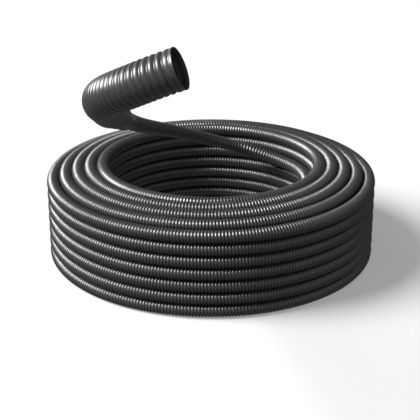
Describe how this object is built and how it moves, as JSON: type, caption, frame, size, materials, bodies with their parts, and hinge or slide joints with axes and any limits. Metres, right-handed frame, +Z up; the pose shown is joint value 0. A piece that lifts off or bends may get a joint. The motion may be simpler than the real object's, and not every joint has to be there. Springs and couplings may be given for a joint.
{
  "type": "corrugated conduit",
  "caption": "Coil of corrugated plastic conduit lying on its side, its inner end drawn out of the bore, widening towards its mouth and bent over.",
  "frame": {"origin": "on the floor, on the coil's axis", "axes": "+Z up along the coil's axis; the free end reaches towards -Y"},
  "size_m": [0.5124, 0.9779, 0.5039],
  "materials": {
    "conduit": "satin black, moulded"
  },
  "bodies": {
    "root": {"coil": "conduit", "free_end": "conduit"}
  },
  "joints": []
}
